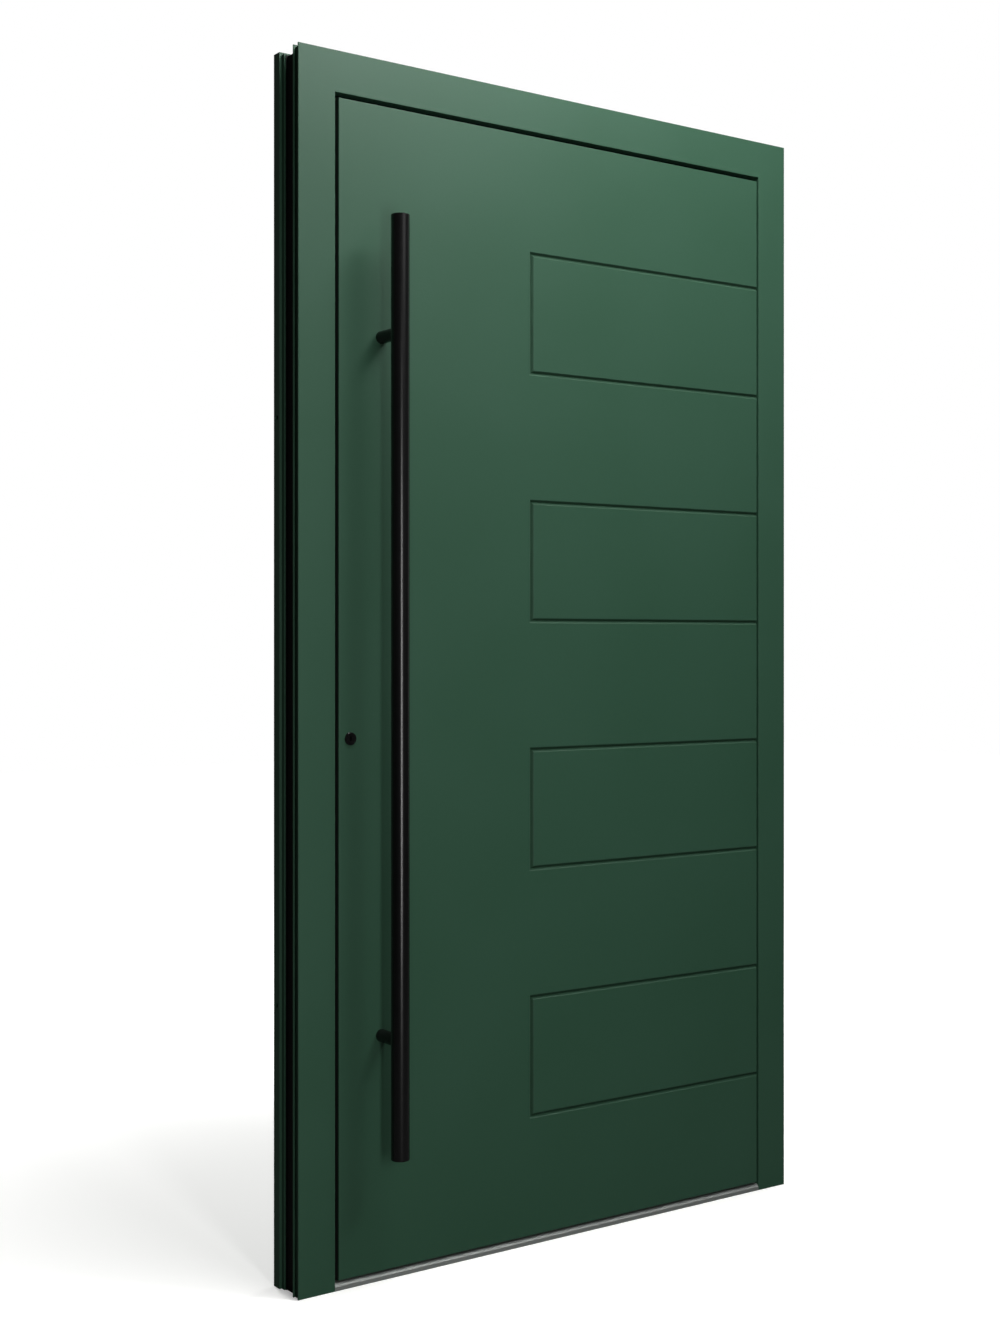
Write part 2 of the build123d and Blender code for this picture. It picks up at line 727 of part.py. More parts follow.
# Hinge stile
with BuildPart() as hinge_stile_outer:
    shell, hollow_shell = along_hinge_stile(outer_sash), along_hinge_stile(hollow(outer_sash))
    extrude(section(raised_plane, shell, hollow_shell), amount=stile_length)
    split(bisect_by=sash_mitres[1], keep=Keep.BOTTOM)
keep(hinge_stile_outer, "hinge_stile_outer")

with BuildPart() as hinge_stile_inner:
    stile_section = section(stile_plane, along_hinge_stile(inner_sash), along_hinge_stile(hollow(inner_sash)))
    extrude(stile_section, amount=stile_length)
    split(bisect_by=sash_mitres[1], keep=Keep.BOTTOM)
keep(hinge_stile_inner, "hinge_stile_inner")

# Top rail, mitred between the stiles
for name, outline in (("outer", outer_sash), ("inner", inner_sash)):
    with BuildPart() as top_rail:
        rail_section = section(top_rail_plane, along_top_rail(outline), along_top_rail(hollow(outline)))
        extrude(rail_section, amount=top_rail_length)
        for mitre in sash_mitres:
            split(bisect_by=mitre, keep=Keep.TOP)
    keep(top_rail, f"top_rail_{name}")

# Bottom rail, cut square between the stiles
for name, outline in (("outer", outer_sash), ("inner", inner_rail)):
    with BuildPart() as bottom_rail:
        extrude(
            section(bottom_rail_plane, along_bottom_rail(outline), along_bottom_rail(hollow(outline))),
            amount=bottom_rail_length,
        )
    keep(bottom_rail, f"bottom_rail_{name}")

# Thermal breaks of the sash
with BuildPart() as stile_breaks:
    lock_side_strips = [along_lock_stile(outline) for outline in sash_strips]
    hinge_side_strips = [along_hinge_stile(outline) for outline in sash_strips]
    add(mitred(raised_plane, lock_side_strips, stile_length, sash_mitres[0]))
    add(mitred(raised_plane, hinge_side_strips, stile_length, sash_mitres[1]))
keep(stile_breaks, "stile_breaks")

with BuildPart() as rail_breaks:
    for outline in sash_strips:
        extrude(section(top_rail_plane, along_top_rail(outline)), amount=top_rail_length)
    for mitre in sash_mitres:
        split(bisect_by=mitre, keep=Keep.TOP)
    for outline in sash_strips:
        extrude(section(bottom_rail_plane, along_bottom_rail(outline)), amount=bottom_rail_length)
keep(rail_breaks, "rail_breaks")

outer_sash_cleat = (
    sash_setback + cleat_fit, sash_width - cleat_fit, (y_skin + cleat_fit, y_break - cleat_fit)
)
inner_sash_cleat = (-leaf_overlap + cleat_fit, sash_width - cleat_fit, (y_rear + cleat_fit, y_in - cleat_fit))
with BuildPart() as leaf_corner_cleats:
    for near, far, y_span in (outer_sash_cleat, inner_sash_cleat):
        cleat(leaf_left, 1, leaf_top, near, far, y_span)
        cleat(leaf_right, -1, leaf_top, near, far, y_span)
keep(leaf_corner_cleats, "leaf_corner_cleats")

# Bottom seal: a base under the bottom rail's breaks, with a fin that brushes the threshold
with BuildPart() as bottom_seal:
    y_seal = (y_break + y_rear) / 2
    seal_top = leaf_bottom + sash_setback
    base_span = (y_seal - bottom_seal_width / 2, y_seal + bottom_seal_width / 2)
    block(panel_x, base_span, (seal_top - bottom_seal_base, seal_top))
    fin_span = (y_seal - bottom_seal_fin / 2, y_seal + bottom_seal_fin / 2)
    block(panel_x, fin_span, (threshold_height + slide_clearance, seal_top))
keep(bottom_seal, "bottom_seal")

# Lock faceplate along the stile's edge
with BuildPart() as faceplate:
    faceplate_y = (y_lock - faceplate_width / 2, y_lock + faceplate_width / 2)
    block((x_faceplate, x_edge), faceplate_y, (faceplate_bottom, faceplate_top))
    fillet(faceplate.edges().filter_by(Axis.X), faceplate_width / 2 - edge_round)
    through_x = (x_faceplate - cut_overrun, x_edge + cut_overrun)
    bolt_openings = [
        (z_spindle, latch_width, latch_height), (z_deadbolt, deadbolt_width, deadbolt_height),
        *((height + (hook_slot_low + hook_slot_high) / 2, hook_thickness, hook_slot_high - hook_slot_low)
          for height in hook_heights),
    ]
    for middle, width, tall in bolt_openings:
        half_open = width / 2 + slide_clearance
        half_tall = tall / 2 + slide_clearance
        block(
            through_x, (y_lock - half_open, y_lock + half_open), (middle - half_tall, middle + half_tall),
            mode=Mode.SUBTRACT,
        )
keep(faceplate, "lock_faceplate")

# Lock cases: folded boxes, open behind the faceplate and at the ends for the drive rods
cavity_y = (case_y[0] + case_wall, case_y[1] - case_wall)
rod_x = (x_edge + rod_inset, x_edge + rod_inset + rod_thickness)
rod_y = (y_lock - rod_width / 2, y_lock + rod_width / 2)


def lock_case(depth, z_span):
    """A case with its front open, and a slot for a rod at each end."""
    block((x_edge, x_edge + depth), case_y, z_span)
    cavity_z = (z_span[0] + case_wall, z_span[1] - case_wall)
    block((x_edge - cut_overrun, x_edge + depth - case_wall), cavity_y, cavity_z, mode=Mode.SUBTRACT)
    block(
        (rod_x[0] - slide_clearance, rod_x[1] + slide_clearance),
        (rod_y[0] - slide_clearance, rod_y[1] + slide_clearance),
        (z_span[0] - cut_overrun, z_span[1] + cut_overrun),
        mode=Mode.SUBTRACT,
    )


with BuildPart() as main_lock_case:
    lock_case(main_case_depth, main_case_z)
    cut_cylinder(case_y[0] - cut_overrun, case_thickness + 2 * cut_overrun)
    hub_plane = facing(x_cylinder, y_lock, z_spindle, (0, 1))
    extrude(disc(hub_plane, lever_diameter / 2 + slide_clearance), amount=case_thickness, mode=Mode.SUBTRACT)
keep(main_lock_case, "main_lock_case")

with BuildPart() as hook_cases:
    for z_span in hook_cases_z:
        lock_case(hook_case_depth, z_span)
    for height in hook_heights:
        pin_plane = facing(x_edge + hook_pivot_inset, cavity_y[0], height, (0, 1))
        extrude(disc(pin_plane, hook_pin_radius), amount=cavity_y[1] - cavity_y[0])
keep(hook_cases, "hook_cases")

# Swing hooks: a sickle round its pivot, carried by a web
for name, height in zip(("lower", "upper"), hook_heights):
    pivot = (x_edge + hook_pivot_inset, y_lock + hook_thickness / 2, height)
    hook_plane = Plane(origin=pivot, x_dir=(1, 0, 0), z_dir=(0, -1, 0))
    with BuildPart() as hook:
        with BuildSketch(hook_plane):
            with BuildLine():
                outer_arc = CenterArc((0, 0), hook_outer_radius, hook_start_angle, hook_arc_angle)
                inner_arc = CenterArc((0, 0), hook_inner_radius, hook_start_angle, hook_arc_angle)
                Line(outer_arc @ 0, inner_arc @ 0)
                Line(outer_arc @ 1, inner_arc @ 1)
            make_face()
            with BuildLine():
                web_arc = CenterArc((0, 0), hook_outer_radius, hook_start_angle, hook_web_angle)
                Line((0, 0), web_arc @ 0)
                Line((0, 0), web_arc @ 1)
            make_face()
            Circle(hook_hub_radius)
            Circle(hook_pin_radius + fit_clearance, mode=Mode.SUBTRACT)
        extrude(amount=hook_thickness)
    keep(hook, f"{name}_hook")

# Drive rods between the cases
with BuildPart() as drive_rods:
    block(rod_x, rod_y, (hook_cases_z[0][1] - rod_bite, main_case_z[0] + rod_bite))
    block(rod_x, rod_y, (main_case_z[1] - rod_bite, hook_cases_z[1][0] + rod_bite))
keep(drive_rods, "drive_rods")

# Latch bolt: bevelled towards outside, with a tail that the follower's arm draws back
with BuildPart() as latch_bolt:
    half_latch = latch_width / 2
    x_latch_tip = x_faceplate - latch_throw
    latch_plan = [
        (x_faceplate, y_lock - half_latch), (x_latch_tip, y_lock + half_latch - latch_tip_width),
        (x_latch_tip, y_lock + half_latch), (x_latch_tip + latch_head_length, y_lock + half_latch),
        (x_latch_tip + latch_head_length, y_lock - half_latch),
    ]
    extrude(section(Plane.XY.offset(z_spindle - latch_height / 2), latch_plan), amount=latch_height)
    tail_y = (y_lock + half_latch - latch_tail_thickness, y_lock + half_latch)
    tail_top = z_spindle + latch_height / 2 + latch_tail_height / 2
    tail_z = (tail_top - latch_tail_height, tail_top)
    x_lug = x_cylinder + follower_arm_width / 2 + latch_lug_play
    block((x_latch_tip, x_lug + latch_lug_length), tail_y, tail_z, mode=Mode.ADD)
    block((x_latch_tip, x_latch_tip + latch_head_length - latch_tail_height), tail_y,
          (z_spindle + latch_height / 2, tail_top), mode=Mode.SUBTRACT)
    block((x_lug, x_lug + latch_lug_length), (y_lock - half_latch, tail_y[1]), tail_z)
keep(latch_bolt, "latch_bolt")

# Deadbolt, drawn back flush with the faceplate
with BuildPart() as deadbolt:
    block(
        (x_faceplate, x_faceplate + deadbolt_length),
        (y_lock - deadbolt_width / 2, y_lock + deadbolt_width / 2),
        (z_deadbolt - deadbolt_height / 2, z_deadbolt + deadbolt_height / 2),
    )
    chamfer(deadbolt.faces().sort_by(Axis.X)[0].edges(), edge_round)
keep(deadbolt, "deadbolt")

# Lever: follower in the lock, square spindle, and a mitred round grip that turns in its rose
half_square = spindle_width / 2
with BuildPart() as follower:
    follower_plane = facing(x_cylinder, y_lock - follower_thickness / 2, z_spindle, (0, 1))
    extrude(disc(follower_plane, follower_radius), amount=follower_thickness)
    half_arm = follower_arm_width / 2
    follower_y = (y_lock - follower_thickness / 2, tail_y[0] - slide_clearance)
    arm_z = (z_spindle, z_spindle + follower_arm_reach)
    block((x_cylinder - half_arm, x_cylinder + half_arm), follower_y, arm_z)
    square = half_square + fit_clearance
    block(
        (x_cylinder - square, x_cylinder + square), (y_rear, y_in), (z_spindle - square, z_spindle + square),
        mode=Mode.SUBTRACT,
    )
keep(follower, "follower")

y_neck = y_in + slide_clearance
with BuildPart() as spindle:
    block(
        (x_cylinder - half_square, x_cylinder + half_square),
        (y_lock - follower_thickness / 2, y_neck + lever_socket_depth - slide_clearance),
        (z_spindle - half_square, z_spindle + half_square),
    )
keep(spindle, "spindle")

with BuildPart() as lever_handle:
    y_grip = y_in + lever_reach
    with BuildLine():
        Polyline(
            (x_cylinder, y_neck, z_spindle), (x_cylinder, y_grip, z_spindle),
            (x_cylinder + lever_length, y_grip, z_spindle),
        )
    neck_end = disc(facing(x_cylinder, y_neck, z_spindle, (0, 1)), lever_diameter / 2)
    sweep(neck_end, transition=Transition.RIGHT)
    chamfer(lever_handle.faces().sort_by(Axis.X)[-1].edges(), lever_end_bevel)
    block(
        (x_cylinder - square, x_cylinder + square), (y_in, y_neck + lever_socket_depth),
        (z_spindle - square, z_spindle + square), mode=Mode.SUBTRACT,
    )
keep(lever_handle, "lever_handle")

with BuildPart() as inside_roses:
    for height in (z_spindle, cylinder_height):
        extrude(disc(facing(x_cylinder, y_in, height, (0, 1)), rose_diameter / 2), amount=rose_thickness)
    chamfer(inside_roses.edges().group_by(Axis.Y)[-1], rose_bevel)
    for height, hole in ((z_spindle, lever_diameter), (cylinder_height, cylinder_diameter)):
        rose_plane = facing(x_cylinder, y_in, height, (0, 1))
        extrude(disc(rose_plane, hole / 2 + fit_clearance), amount=rose_thickness, mode=Mode.SUBTRACT)
keep(inside_roses, "inside_roses")

# Lock cylinder: a body in two halves bridged below the cam
cam_y = (y_lock - cam_thickness / 2, y_lock + cam_thickness / 2)
with BuildPart() as cylinder_body:
    y_front = y_out - cylinder_projection
    round_plane = facing(x_cylinder, y_front, cylinder_height, (0, 1))
    extrude(disc(round_plane, cylinder_diameter / 2), amount=y_rose - y_front)
    lug_plane = Plane(origin=(x_cylinder, y_skin, cylinder_height), x_dir=(1, 0, 0), z_dir=(0, -1, 0))
    extrude(cylinder_face(lug_plane), amount=y_skin - y_in)
    cam_room = cam_radius + cam_gap
    with Locations((x_cylinder, y_lock, cylinder_height)):
        Cylinder(cam_room, cam_thickness + 2 * cam_gap, rotation=(90, 0, 0), mode=Mode.SUBTRACT)
    extrude(disc(round_plane, plug_diameter / 2 + fit_clearance), amount=y_rose - y_front, mode=Mode.SUBTRACT)
    chamfer(cylinder_body.faces().sort_by(Axis.Y)[0].outer_wire().edges(), edge_round)
keep(cylinder_body, "cylinder_body")

with BuildPart() as cylinder_plug:
    plug_plane = facing(x_cylinder, y_front + plug_recess, cylinder_height, (0, 1))
    extrude(disc(plug_plane, plug_diameter / 2), amount=cam_y[0] - y_front - plug_recess)
    key_x = (x_cylinder - keyway_width / 2, x_cylinder + keyway_width / 2)
    key_z = (cylinder_height - keyway_height / 2, cylinder_height + keyway_height / 2)
    block(key_x, (y_front - cut_overrun, y_front + keyway_depth), key_z, mode=Mode.SUBTRACT)
keep(cylinder_plug, "cylinder_plug")

with BuildPart() as cylinder_cam:
    cam_plane = facing(x_cylinder, cam_y[0], cylinder_height, (0, 1))
    extrude(disc(cam_plane, plug_diameter / 2), amount=cam_thickness)
    cam_z = (cylinder_height - cam_width / 2, cylinder_height + cam_width / 2)
    block((x_cylinder, x_cylinder + cam_radius), cam_y, cam_z)
keep(cylinder_cam, "cylinder_cam")

with BuildPart() as thumb_turn:
    shaft_plane = facing(x_cylinder, cam_y[1], cylinder_height, (0, 1))
    y_turn = y_rose + slide_clearance
    extrude(disc(shaft_plane, plug_diameter / 2), amount=y_turn - cam_y[1])
    base_plane = facing(x_cylinder, y_turn, cylinder_height, (0, 1))
    extrude(disc(base_plane, turn_base_diameter / 2), amount=turn_base_thickness)
    with BuildSketch(base_plane.offset(turn_base_thickness)):
        SlotOverall(turn_wing_length, turn_wing_width, rotation=90)
    extrude(amount=turn_wing_height)
    chamfer(thumb_turn.faces().sort_by(Axis.Y)[-1].edges(), rose_bevel)
keep(thumb_turn, "thumb_turn")

# Pull bar: a tube with end caps, on two round standoffs bolted through the panel
bar_plane = Plane(origin=(x_bar, y_bar, bar_foot))
bar_radius = pull_bar_diameter / 2
bar_bore = bar_radius - pull_bar_wall
with BuildPart() as pull_bar:
    extrude(disc(bar_plane, bar_radius), amount=pull_bar_length)
    extrude(disc(bar_plane, bar_bore), amount=pull_bar_length, mode=Mode.SUBTRACT)
    for end in (0, -1):
        rim = pull_bar.edges().filter_by(GeomType.CIRCLE).group_by(Axis.Z)[end].sort_by(SortBy.RADIUS)[-1]
        chamfer(rim, edge_round)
keep(pull_bar, "pull_bar")

with BuildPart() as pull_bar_caps:
    for low in (bar_foot, bar_foot + pull_bar_length - pull_bar_cap_thickness):
        cap_plane = Plane(origin=(x_bar, y_bar, low))
        extrude(disc(cap_plane, bar_bore - fit_clearance), amount=pull_bar_cap_thickness)
keep(pull_bar_caps, "pull_bar_caps")

with BuildPart() as standoffs:
    for height in standoff_heights:
        foot_plane = facing(x_bar, y_out, height, (0, -1))
        extrude(disc(foot_plane, standoff_diameter / 2), amount=pull_bar_projection)
        extrude(disc(foot_plane, bolt_hole), amount=pull_bolt_bite, mode=Mode.SUBTRACT)
    extrude(disc(bar_plane, bar_radius + fit_clearance), amount=pull_bar_length, mode=Mode.SUBTRACT)
keep(standoffs, "standoffs")

with BuildPart() as pull_bar_bolts:
    for height in standoff_heights:
        head_plane = facing(x_bar, y_sheet, height, (0, 1))
        extrude(disc(head_plane, pull_bolt_head_diameter / 2), amount=pull_bolt_head_thickness)
        shank_length = panel_thickness + pull_bolt_bite - slide_clearance
        extrude(disc(head_plane, pull_bolt_diameter / 2), amount=-shank_length)
keep(pull_bar_bolts, "pull_bar_bolts")
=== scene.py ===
import math

import bmesh
import bpy
from mathutils import Matrix, Vector


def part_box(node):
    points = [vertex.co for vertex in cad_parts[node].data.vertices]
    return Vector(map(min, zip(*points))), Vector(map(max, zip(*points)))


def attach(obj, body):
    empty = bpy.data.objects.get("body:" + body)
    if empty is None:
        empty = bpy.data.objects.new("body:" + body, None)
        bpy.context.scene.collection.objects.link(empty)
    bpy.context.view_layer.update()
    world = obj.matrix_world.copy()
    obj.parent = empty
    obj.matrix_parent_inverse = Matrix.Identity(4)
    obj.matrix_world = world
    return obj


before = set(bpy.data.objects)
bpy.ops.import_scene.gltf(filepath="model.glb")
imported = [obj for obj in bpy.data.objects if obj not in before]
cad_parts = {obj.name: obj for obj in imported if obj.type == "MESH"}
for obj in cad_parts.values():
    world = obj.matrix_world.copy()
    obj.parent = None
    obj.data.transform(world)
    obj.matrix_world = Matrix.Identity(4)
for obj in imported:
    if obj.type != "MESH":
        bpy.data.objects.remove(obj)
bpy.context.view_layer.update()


# Outer and inner frame profiles: the two jambs and the head, which are fixed in the opening.
# They are extruded aluminium, sawn to mitres, pressed together over corner cleats and then
# powder coated, so every face and edge has the same dark green, fine matt skin.
def srgb(code):
    """A hex colour as the linear one that the shaders use, with full alpha."""
    parts = [int(code[start:start + 2], 16) / 255 for start in (1, 3, 5)]
    linear = [((part + 0.055) / 1.055) ** 2.4 if part > 0.04045 else part / 12.92 for part in parts]
    return [*linear, 1.0]


def node(tree, kind, inputs=None, **settings):
    """Adds a node with its settings; an input that comes from a socket is linked, any other is filled in.

    A mix takes its share at input 0, two numbers at 2 and 3 or two colours at 6 and 7, and gives
    a number at output 0 or a colour at output 2.
    """
    made = tree.nodes.new(kind)
    for name, value in settings.items():
        setattr(made, name, value)
    for name, value in (inputs or {}).items():
        if isinstance(value, bpy.types.NodeSocket):
            tree.links.new(value, made.inputs[name])
        else:
            made.inputs[name].default_value = value
    return made


def finish_named(name):
    """A new finish with an empty node tree, and the place on the object in metres."""
    made = bpy.data.materials.new(name)
    made.use_nodes = True
    made.node_tree.nodes.clear()
    place = node(made.node_tree, "ShaderNodeTexCoord").outputs["Object"]
    return made, made.node_tree, place


def dress(finish, *names):
    """Gives the named solids their finish."""
    for name in names:
        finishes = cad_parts[name].data.materials
        finishes.clear()
        finishes.append(finish)


# Powder coat, sprayed dry and baked to a fine matt skin: hardly any gloss, the slight cloud of an
# uneven spray, and the grain of melted powder. The real grain is 0.4 mm and is drawn at 1.5 mm,
# because it would not show otherwise.
mm_per_m = 1000
coat_green, coat_green_thin = srgb("#2a4838"), srgb("#274534")
coat_grain_mm, coat_grain_height_mm, coat_cloud_mm = 1.5, 0.1, 260
coat_thin_below, coat_full_above = 0.7, 1.3
coat_thin_rough, coat_full_rough = 0.42, 0.50
powder_coat, tree, place = finish_named("powder_coated_aluminium")
grain = node(tree, "ShaderNodeTexNoise", {
    "Vector": place, "Scale": mm_per_m / coat_grain_mm, "Detail": 3.0})
cloud = node(tree, "ShaderNodeTexNoise", {
    "Vector": place, "Scale": mm_per_m / coat_cloud_mm, "Detail": 4.0})
mottle = node(tree, "ShaderNodeMath", {0: grain.outputs["Fac"], 1: cloud.outputs["Fac"]}, operation="ADD")
full = node(tree, "ShaderNodeMapRange", {
    "Value": mottle.outputs[0], "From Min": coat_thin_below, "From Max": coat_full_above})
colour = node(tree, "ShaderNodeMix", {
    0: full.outputs[0], 6: coat_green_thin, 7: coat_green}, data_type="RGBA")
rough = node(tree, "ShaderNodeMapRange", {
    "Value": full.outputs[0], "To Min": coat_thin_rough, "To Max": coat_full_rough})
bump = node(tree, "ShaderNodeBump", {
    "Height": grain.outputs["Fac"], "Strength": 0.25, "Distance": coat_grain_height_mm / mm_per_m})
shader = node(tree, "ShaderNodeBsdfPrincipled", {
    "Base Color": colour.outputs[2], "Roughness": rough.outputs[0], "Normal": bump.outputs[0],
    "IOR": 1.5, "Specular IOR Level": 0.25})
node(tree, "ShaderNodeOutputMaterial", {"Surface": shader.outputs[0]})

dress(powder_coat, "jamb_left_outer", "jamb_right_outer", "head_outer",
      "jamb_left_inner", "jamb_right_inner", "head_inner")

# Thermal breaks: the strips that join the outer and inner profiles and keep the cold out.
# They are polyamide filled with glass fibre, extruded and rolled into grooves of the profiles.

# Glass-filled polyamide as it leaves the die: dull black, with faint paler fibres along the strip.
# The real fibres are far finer than 0.6 mm, and are drawn at that because they would not show.
polyamide_black, polyamide_fibre = srgb("#0b0b0b"), srgb("#1a1a19")
fibre_mm, fibre_height_mm = 0.6, 0.1
fibre_stretch = (1.0, 1.0, 0.08)
fibre_starts, fibre_full = 0.52, 0.75
polyamide_rough, fibre_rough = 0.8, 0.65
polyamide, tree, place = finish_named("glass_filled_polyamide")
along = node(tree, "ShaderNodeMapping", {"Vector": place, "Scale": fibre_stretch})
fibre = node(tree, "ShaderNodeTexNoise", {
    "Vector": along.outputs[0], "Scale": mm_per_m / fibre_mm, "Detail": 2.0})
shows = node(tree, "ShaderNodeMapRange", {
    "Value": fibre.outputs["Fac"], "From Min": fibre_starts, "From Max": fibre_full})
colour = node(tree, "ShaderNodeMix", {
    0: shows.outputs[0], 6: polyamide_black, 7: polyamide_fibre}, data_type="RGBA")
rough = node(tree, "ShaderNodeMapRange", {
    "Value": fibre.outputs["Fac"], "To Min": polyamide_rough, "To Max": fibre_rough})
bump = node(tree, "ShaderNodeBump", {
    "Height": fibre.outputs["Fac"], "Strength": 0.3, "Distance": fibre_height_mm / mm_per_m})
shader = node(tree, "ShaderNodeBsdfPrincipled", {
    "Base Color": colour.outputs[2], "Roughness": rough.outputs[0], "Normal": bump.outputs[0],
    "IOR": 1.53, "Specular IOR Level": 0.2})
node(tree, "ShaderNodeOutputMaterial", {"Surface": shader.outputs[0]})

dress(polyamide, "jamb_breaks", "head_breaks")

# Corner cleats: the angles inside the mitres, pressed into the profiles' chambers.
# They are sawn from an extruded aluminium bar and left as they come from the press.
line_height_mm = 0.1


def lined_metal(name, pale, dull, line_mm, stretch, detail, metallic, rough, relief):
    """A metal with fine lines along the axis whose stretch is small; rough is its range of roughness."""
    finish, tree, place = finish_named(name)
    along = node(tree, "ShaderNodeMapping", {"Vector": place, "Scale": stretch})
    lines = node(tree, "ShaderNodeTexNoise", {
        "Vector": along.outputs[0], "Scale": mm_per_m / line_mm, "Detail": detail})
    colour = node(tree, "ShaderNodeMix", {0: lines.outputs["Fac"], 6: dull, 7: pale}, data_type="RGBA")
    roughness = node(tree, "ShaderNodeMapRange", {
        "Value": lines.outputs["Fac"], "To Min": rough[0], "To Max": rough[1]})
    bump = node(tree, "ShaderNodeBump", {
        "Height": lines.outputs["Fac"], "Strength": relief, "Distance": line_height_mm / mm_per_m})
    shader = node(tree, "ShaderNodeBsdfPrincipled", {
        "Base Color": colour.outputs[2], "Metallic": metallic, "Roughness": roughness.outputs[0],
        "Normal": bump.outputs[0]})
    node(tree, "ShaderNodeOutputMaterial", {"Surface": shader.outputs[0]})
    return finish


# Mill-finish aluminium, bare from the die: a pale grey metal with faint draw lines. On this and the
# other lined metals the real lines are about 0.1 mm apart, and are drawn at 0.5 to 0.8 mm, because
# they would not show otherwise.
mill_aluminium = lined_metal(
    "mill_finish_aluminium", pale=srgb("#b4b6b6"), dull=srgb("#9a9c9d"), line_mm=0.8,
    stretch=(1.0, 0.04, 1.0), detail=3.0, metallic=1.0, rough=(0.30, 0.48), relief=0.15)

dress(mill_aluminium, "frame_corner_cleats")

# Rebate gasket: the seal round the frame that the leaf closes on.
# It is extruded rubber, pushed into the profile's groove.

# Extruded rubber, cured and left plain: matt black with fine pores and a grey dusting of bloom.
# The real pores are about 0.1 mm and are drawn at 0.5 mm, because they would not show otherwise.
rubber_black, rubber_bloom = srgb("#121312"), srgb("#232423")
bloom_mm, pore_mm, pore_depth_mm = 18, 0.5, 0.1
bloom_starts, bloom_full = 0.45, 0.75
rubber_rough, bloom_rough = 0.6, 0.8
rubber, tree, place = finish_named("extruded_rubber")
bloom = node(tree, "ShaderNodeTexNoise", {"Vector": place, "Scale": mm_per_m / bloom_mm, "Detail": 5.0})
pores = node(tree, "ShaderNodeTexNoise", {"Vector": place, "Scale": mm_per_m / pore_mm, "Detail": 2.0})
shows = node(tree, "ShaderNodeMapRange", {
    "Value": bloom.outputs["Fac"], "From Min": bloom_starts, "From Max": bloom_full})
colour = node(tree, "ShaderNodeMix", {
    0: shows.outputs[0], 6: rubber_black, 7: rubber_bloom}, data_type="RGBA")
rough = node(tree, "ShaderNodeMapRange", {
    "Value": bloom.outputs["Fac"], "To Min": rubber_rough, "To Max": bloom_rough})
bump = node(tree, "ShaderNodeBump", {
    "Height": pores.outputs["Fac"], "Strength": 0.2, "Distance": pore_depth_mm / mm_per_m})
shader = node(tree, "ShaderNodeBsdfPrincipled", {
    "Base Color": colour.outputs[2], "Roughness": rough.outputs[0], "Normal": bump.outputs[0], "IOR": 1.52})
node(tree, "ShaderNodeOutputMaterial", {"Surface": shader.outputs[0]})

dress(rubber, "rebate_gasket")

# Threshold: the low sill between the jambs, two strips with a plastic core between them.
# The strips are extruded aluminium, brushed along their length and anodised; the core is polyamide.

# Anodised aluminium, brushed before its oxide skin is grown: a soft mid grey with fine lines, and
# duller than bare metal, so it is less than fully metallic.
anodised = lined_metal(
    "anodised_aluminium", pale=srgb("#8f9390"), dull=srgb("#777b78"), line_mm=0.7,
    stretch=(0.01, 1.0, 1.0), detail=4.0, metallic=0.6, rough=(0.55, 0.66), relief=0.15)

dress(anodised, "threshold_outer", "threshold_inner")
dress(polyamide, "threshold_core")

# Strike plates: the three plates on the lock jamb that take the bolts and hooks.
# They are stamped from stainless steel, brushed along their length, and held by screws with low
# domed heads.

# Brushed stainless steel, ground with a belt: a bright, slightly warm grey, with upright lines
# that draw the lights out sideways.
stainless = lined_metal(
    "brushed_stainless_steel", pale=srgb("#b9b8b5"), dull=srgb("#9d9c99"), line_mm=0.6,
    stretch=(1.0, 1.0, 0.03), detail=4.0, metallic=1.0, rough=(0.24, 0.42), relief=0.12)

dress(stainless, "strike_plates")

# A screw head's recess in shares of its radius, and its rings from the edge to the top: each has
# its radius as a share of the head's, and its height as a share of the head's rise.
recess_arms, recess_reach_share, recess_half_width_share = 4, 0.56, 0.15
recess_floor_share, recess_floor_height_share = 0.75, -0.25
head_rise_share = 0.24
head_ring_shares = [(1.0, -0.3), (1.0, 0.25), (0.93, 0.6), (0.8, 0.88), (0.66, 1.0)]


def cross_recess(radius):
    """The outline of a cross recess, with as many points as there are steps round the screw head."""
    reach, half = recess_reach_share * radius, recess_half_width_share * radius
    middle = (reach + half) / 2
    quarter = [(reach, 0), (reach, half), (middle, half), (half, half), (half, middle), (half, reach)]
    points = []
    for arm in range(recess_arms):
        for x, y in quarter:
            for turn in range(arm):
                x, y = -y, x
            points.append((x, y))
    return points


def screw_heads(name, body, places, outward, radius):
    """Low domed steel screw heads as one piece; places are their middles, outward where they face."""
    rise = head_rise_share * radius
    outline = cross_recess(radius)
    steps = len(outline)
    angles = [2 * math.pi * step / steps for step in range(steps)]
    loops = [[(math.cos(angle) * share * radius, math.sin(angle) * share * radius, height * rise)
              for angle in angles] for share, height in head_ring_shares]
    loops.append([(x, y, rise) for x, y in outline])
    loops.append([(recess_floor_share * x, recess_floor_share * y, recess_floor_height_share * rise)
                  for x, y in outline])
    turn = Vector((0, 0, 1)).rotation_difference(Vector(outward)).to_matrix().to_4x4()
    mesh = bmesh.new()
    for spot in places:
        seat = Matrix.Translation(spot) @ turn
        rows = [[mesh.verts.new(seat @ Vector(point)) for point in loop] for loop in loops]
        for low, high in zip(rows, rows[1:]):
            for step in range(steps):
                after = (step + 1) % steps
                mesh.faces.new((low[step], low[after], high[after], high[step]))
        mesh.faces.new(rows[-1])
        mesh.faces.new(list(reversed(rows[0])))
    data = bpy.data.meshes.new(name)
    mesh.to_mesh(data)
    mesh.free()
    piece = bpy.data.objects.new(name, data)
    bpy.context.scene.collection.objects.link(piece)
    data.materials.append(stainless)
    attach(piece, body)


